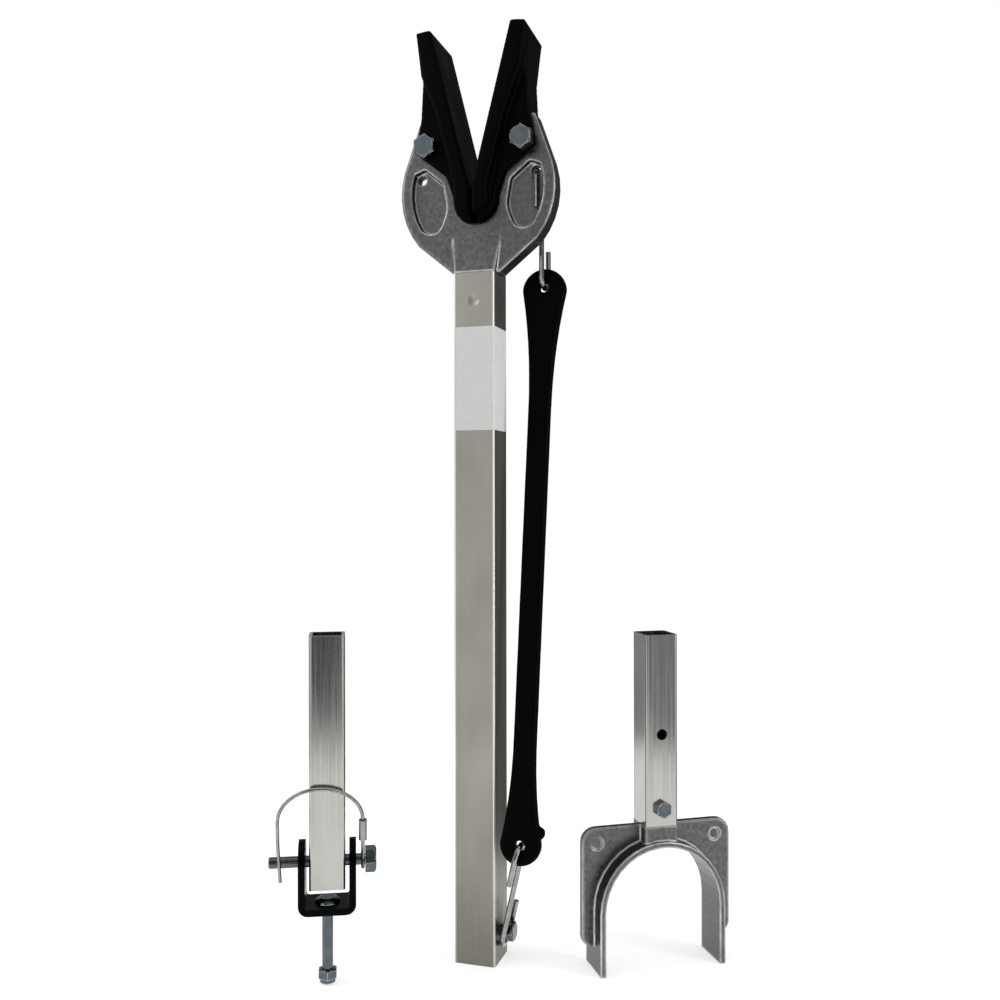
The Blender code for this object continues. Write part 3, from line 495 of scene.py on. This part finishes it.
def mesh_object(name, bm):
    """A new object in the scene with the mesh that bm holds."""
    mesh = bpy.data.meshes.new(name)
    bm.to_mesh(mesh)
    bm.free()
    obj = bpy.data.objects.new(name, mesh)
    bpy.context.collection.objects.link(obj)
    return obj


def wrap_path(low, high, lift):
    """Path over a square tube's front face, round its right corner and over its right face."""
    bend = Vector((high.x - TUBE_CORNER, low.y + TUBE_CORNER))
    reach = TUBE_CORNER + lift
    path = [(low.x + LABEL_MARGIN, low.y - lift)]
    for i in range(LABEL_CORNER_STEPS + 1):
        angle = 0.5 * math.pi * (i / LABEL_CORNER_STEPS - 1.0)
        path.append((bend.x + reach * math.cos(angle), bend.y + reach * math.sin(angle)))
    path.append((high.x + lift, high.y - LABEL_MARGIN))
    return path


def blank_label(low, high):
    """A plain sticker with nothing printed on it, in the place of the photographed one."""
    inner = wrap_path(low, high, LABEL_LIFT)
    outer = wrap_path(low, high, LABEL_LIFT + LABEL_THICKNESS)
    section = inner + outer[::-1]
    bm = bmesh.new()
    rims = [[bm.verts.new((x, y, z)) for x, y in section] for z in (LABEL_LOW, LABEL_HIGH)]
    for i in range(len(section)):
        k = (i + 1) % len(section)
        bm.faces.new((rims[0][i], rims[0][k], rims[1][k], rims[1][i]))
    last = len(section) - 1
    for rim in rims:
        for i in range(len(inner) - 1):
            bm.faces.new((rim[i], rim[i + 1], rim[last - i - 1], rim[last - i]))
    bmesh.ops.recalc_face_normals(bm, faces=bm.faces)
    obj = mesh_object("blank_label", bm)
    obj.data.materials.append(vinyl("blank_vinyl"))
    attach(obj, "strut")


def backdrop_strength(tree):
    """1 for what the camera sees directly or in metal, 0 for light that falls on the object."""
    path = tree.nodes.new("ShaderNodeLightPath")
    total = path.outputs["Is Camera Ray"]
    for kind in ("Is Glossy Ray", "Is Transmission Ray"):
        most = add(tree, "Math", operation="MAXIMUM")
        tree.links.new(total, most.inputs[0])
        tree.links.new(path.outputs[kind], most.inputs[1])
        total = most.outputs["Value"]
    return total


def floor():
    """A pale floor that shows as white and keeps the object's shadow."""
    bm = bmesh.new()
    bmesh.ops.create_grid(bm, x_segments=1, y_segments=1, size=0.5 * FLOOR_SIDE)
    obj = mesh_object("floor", bm)
    material, tree, shader = shader_of("floor_white")
    shader.inputs["Base Color"].default_value = FLOOR_COLOUR
    shader.inputs["Roughness"].default_value = 1.0
    shader.inputs["Specular IOR Level"].default_value = 0.0
    shader.inputs["Emission Color"].default_value = WHITE
    lift = spread(tree, backdrop_strength(tree), 0.0, FLOOR_LIFT, 0.0, 1.0)
    tree.links.new(lift, shader.inputs["Emission Strength"])
    obj.data.materials.append(material)


def screen_distance(angle):
    """Distance of the screen in a direction, between the panels on both sides of it."""
    for (start, near, _), (end, far, _) in zip(SCREEN_PANELS, SCREEN_PANELS[1:]):
        if start <= angle <= end:
            return near + (far - near) * (angle - start) / (end - start)


def screen_tones():
    """Glow of the screen: each panel's brightness round about, times its share at that height."""
    material, tree, shader = shader_of("screen_tones")
    shader.inputs["Base Color"].default_value = BLACK
    shader.inputs["Specular IOR Level"].default_value = 0.0
    place = tree.nodes.new("ShaderNodeTexCoord")
    round_about = add(tree, "TexGradient", gradient_type="RADIAL")
    tree.links.new(place.outputs["Object"], round_about.inputs["Vector"])
    stops = [((angle + 180.0) / 360.0, (tone, tone, tone)) for angle, _, tone in SCREEN_PANELS]
    tree.links.new(ramp(tree, round_about.outputs["Fac"], stops), shader.inputs["Emission Color"])
    upward = spread(tree, position(tree)["Z"], 0.0, 1.0, 0.0, SCREEN_HEIGHT)
    levels = [(height / SCREEN_HEIGHT, (level, level, level)) for height, level in SCREEN_SHARES]
    tree.links.new(ramp(tree, upward, levels), shader.inputs["Emission Strength"])
    return material


def screen():
    """A ring of pale and dark studio panels that only the metal's reflections see."""
    bm = bmesh.new()
    rims = []
    for height in (0.0, SCREEN_HEIGHT):
        rim = []
        for i in range(SCREEN_SIDES):
            angle = 360.0 * i / SCREEN_SIDES - 180.0
            reach = screen_distance(angle)
            turn = math.radians(angle)
            rim.append(bm.verts.new((reach * math.cos(turn), reach * math.sin(turn), height)))
        rims.append(rim)
    for i in range(SCREEN_SIDES):
        k = (i + 1) % SCREEN_SIDES
        bm.faces.new((rims[0][i], rims[1][i], rims[1][k], rims[0][k]))
    obj = mesh_object("screen", bm)
    obj.data.materials.append(screen_tones())
    obj.visible_camera = False
    obj.visible_diffuse = False
    obj.visible_transmission = False
    obj.visible_shadow = False


def world():
    """A white surround, which lights the object at a lower level than it shows."""
    made = bpy.data.worlds.new("studio")
    made.use_nodes = True
    tree = made.node_tree
    background = tree.nodes["Background"]
    background.inputs["Color"].default_value = WHITE
    level = spread(tree, backdrop_strength(tree), WORLD_LEVEL, 1.0, 0.0, 1.0)
    tree.links.new(level, background.inputs["Strength"])
    bpy.context.scene.world = made


def lamp(name, place, aim, size, power):
    """A soft box that faces a point."""
    light = bpy.data.lights.new(name, "AREA")
    light.shape = "RECTANGLE"
    light.size, light.size_y = size
    light.energy = power
    obj = bpy.data.objects.new(name, light)
    obj.location = place
    obj.rotation_euler = (Vector(aim) - Vector(place)).to_track_quat("-Z", "Y").to_euler()
    bpy.context.collection.objects.link(obj)


def camera(strut_axis):
    """A level camera, placed by the strut's axis."""
    lens = bpy.data.cameras.new("photo_camera")
    lens.sensor_width = SENSOR_MM
    lens.lens = SENSOR_MM * FOCAL_PIXELS / PHOTO_SIDE
    lens.shift_y = (HORIZON_PIXEL - 0.5 * PHOTO_SIDE) / PHOTO_SIDE
    obj = bpy.data.objects.new("photo_camera", lens)
    ahead = Vector((-math.sin(CAMERA_AZIMUTH), math.cos(CAMERA_AZIMUTH), 0.0))
    right = Vector((ahead.y, -ahead.x, 0.0))
    obj.location = strut_axis - ahead * CAMERA_DISTANCE - right * STRUT_OFFSET
    obj.location.z = CAMERA_HEIGHT
    obj.rotation_euler = ahead.to_track_quat("-Z", "Y").to_euler()
    obj.rotation_euler.rotate_axis("Z", CAMERA_ROLL)
    bpy.context.collection.objects.link(obj)
    bpy.context.scene.camera = obj


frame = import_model()
tube_low, tube_high = [Vector(corner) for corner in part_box("outer_tube")]
looks = finishes((tube_low, tube_high))
dress_nodes(frame, looks)
strut_axis = 0.5 * (tube_low + tube_high)
strut_top = Vector((strut_axis.x, strut_axis.y, tube_high.z))
for pad in ("left_pad", "right_pad"):
    fill_out(moulded(frame, pad, "strut", looks["black_rubber"]), strut_top)
moulded(frame, "rubber_strap", "strap", looks["black_rubber"])
blank_label(tube_low, tube_high)
camera(strut_axis)
floor()
screen()
world()
for name, (place, aim, size, power) in LAMPS.items():
    lamp(name, place, aim, size, power)
bpy.context.scene.view_settings.view_transform = "Standard"
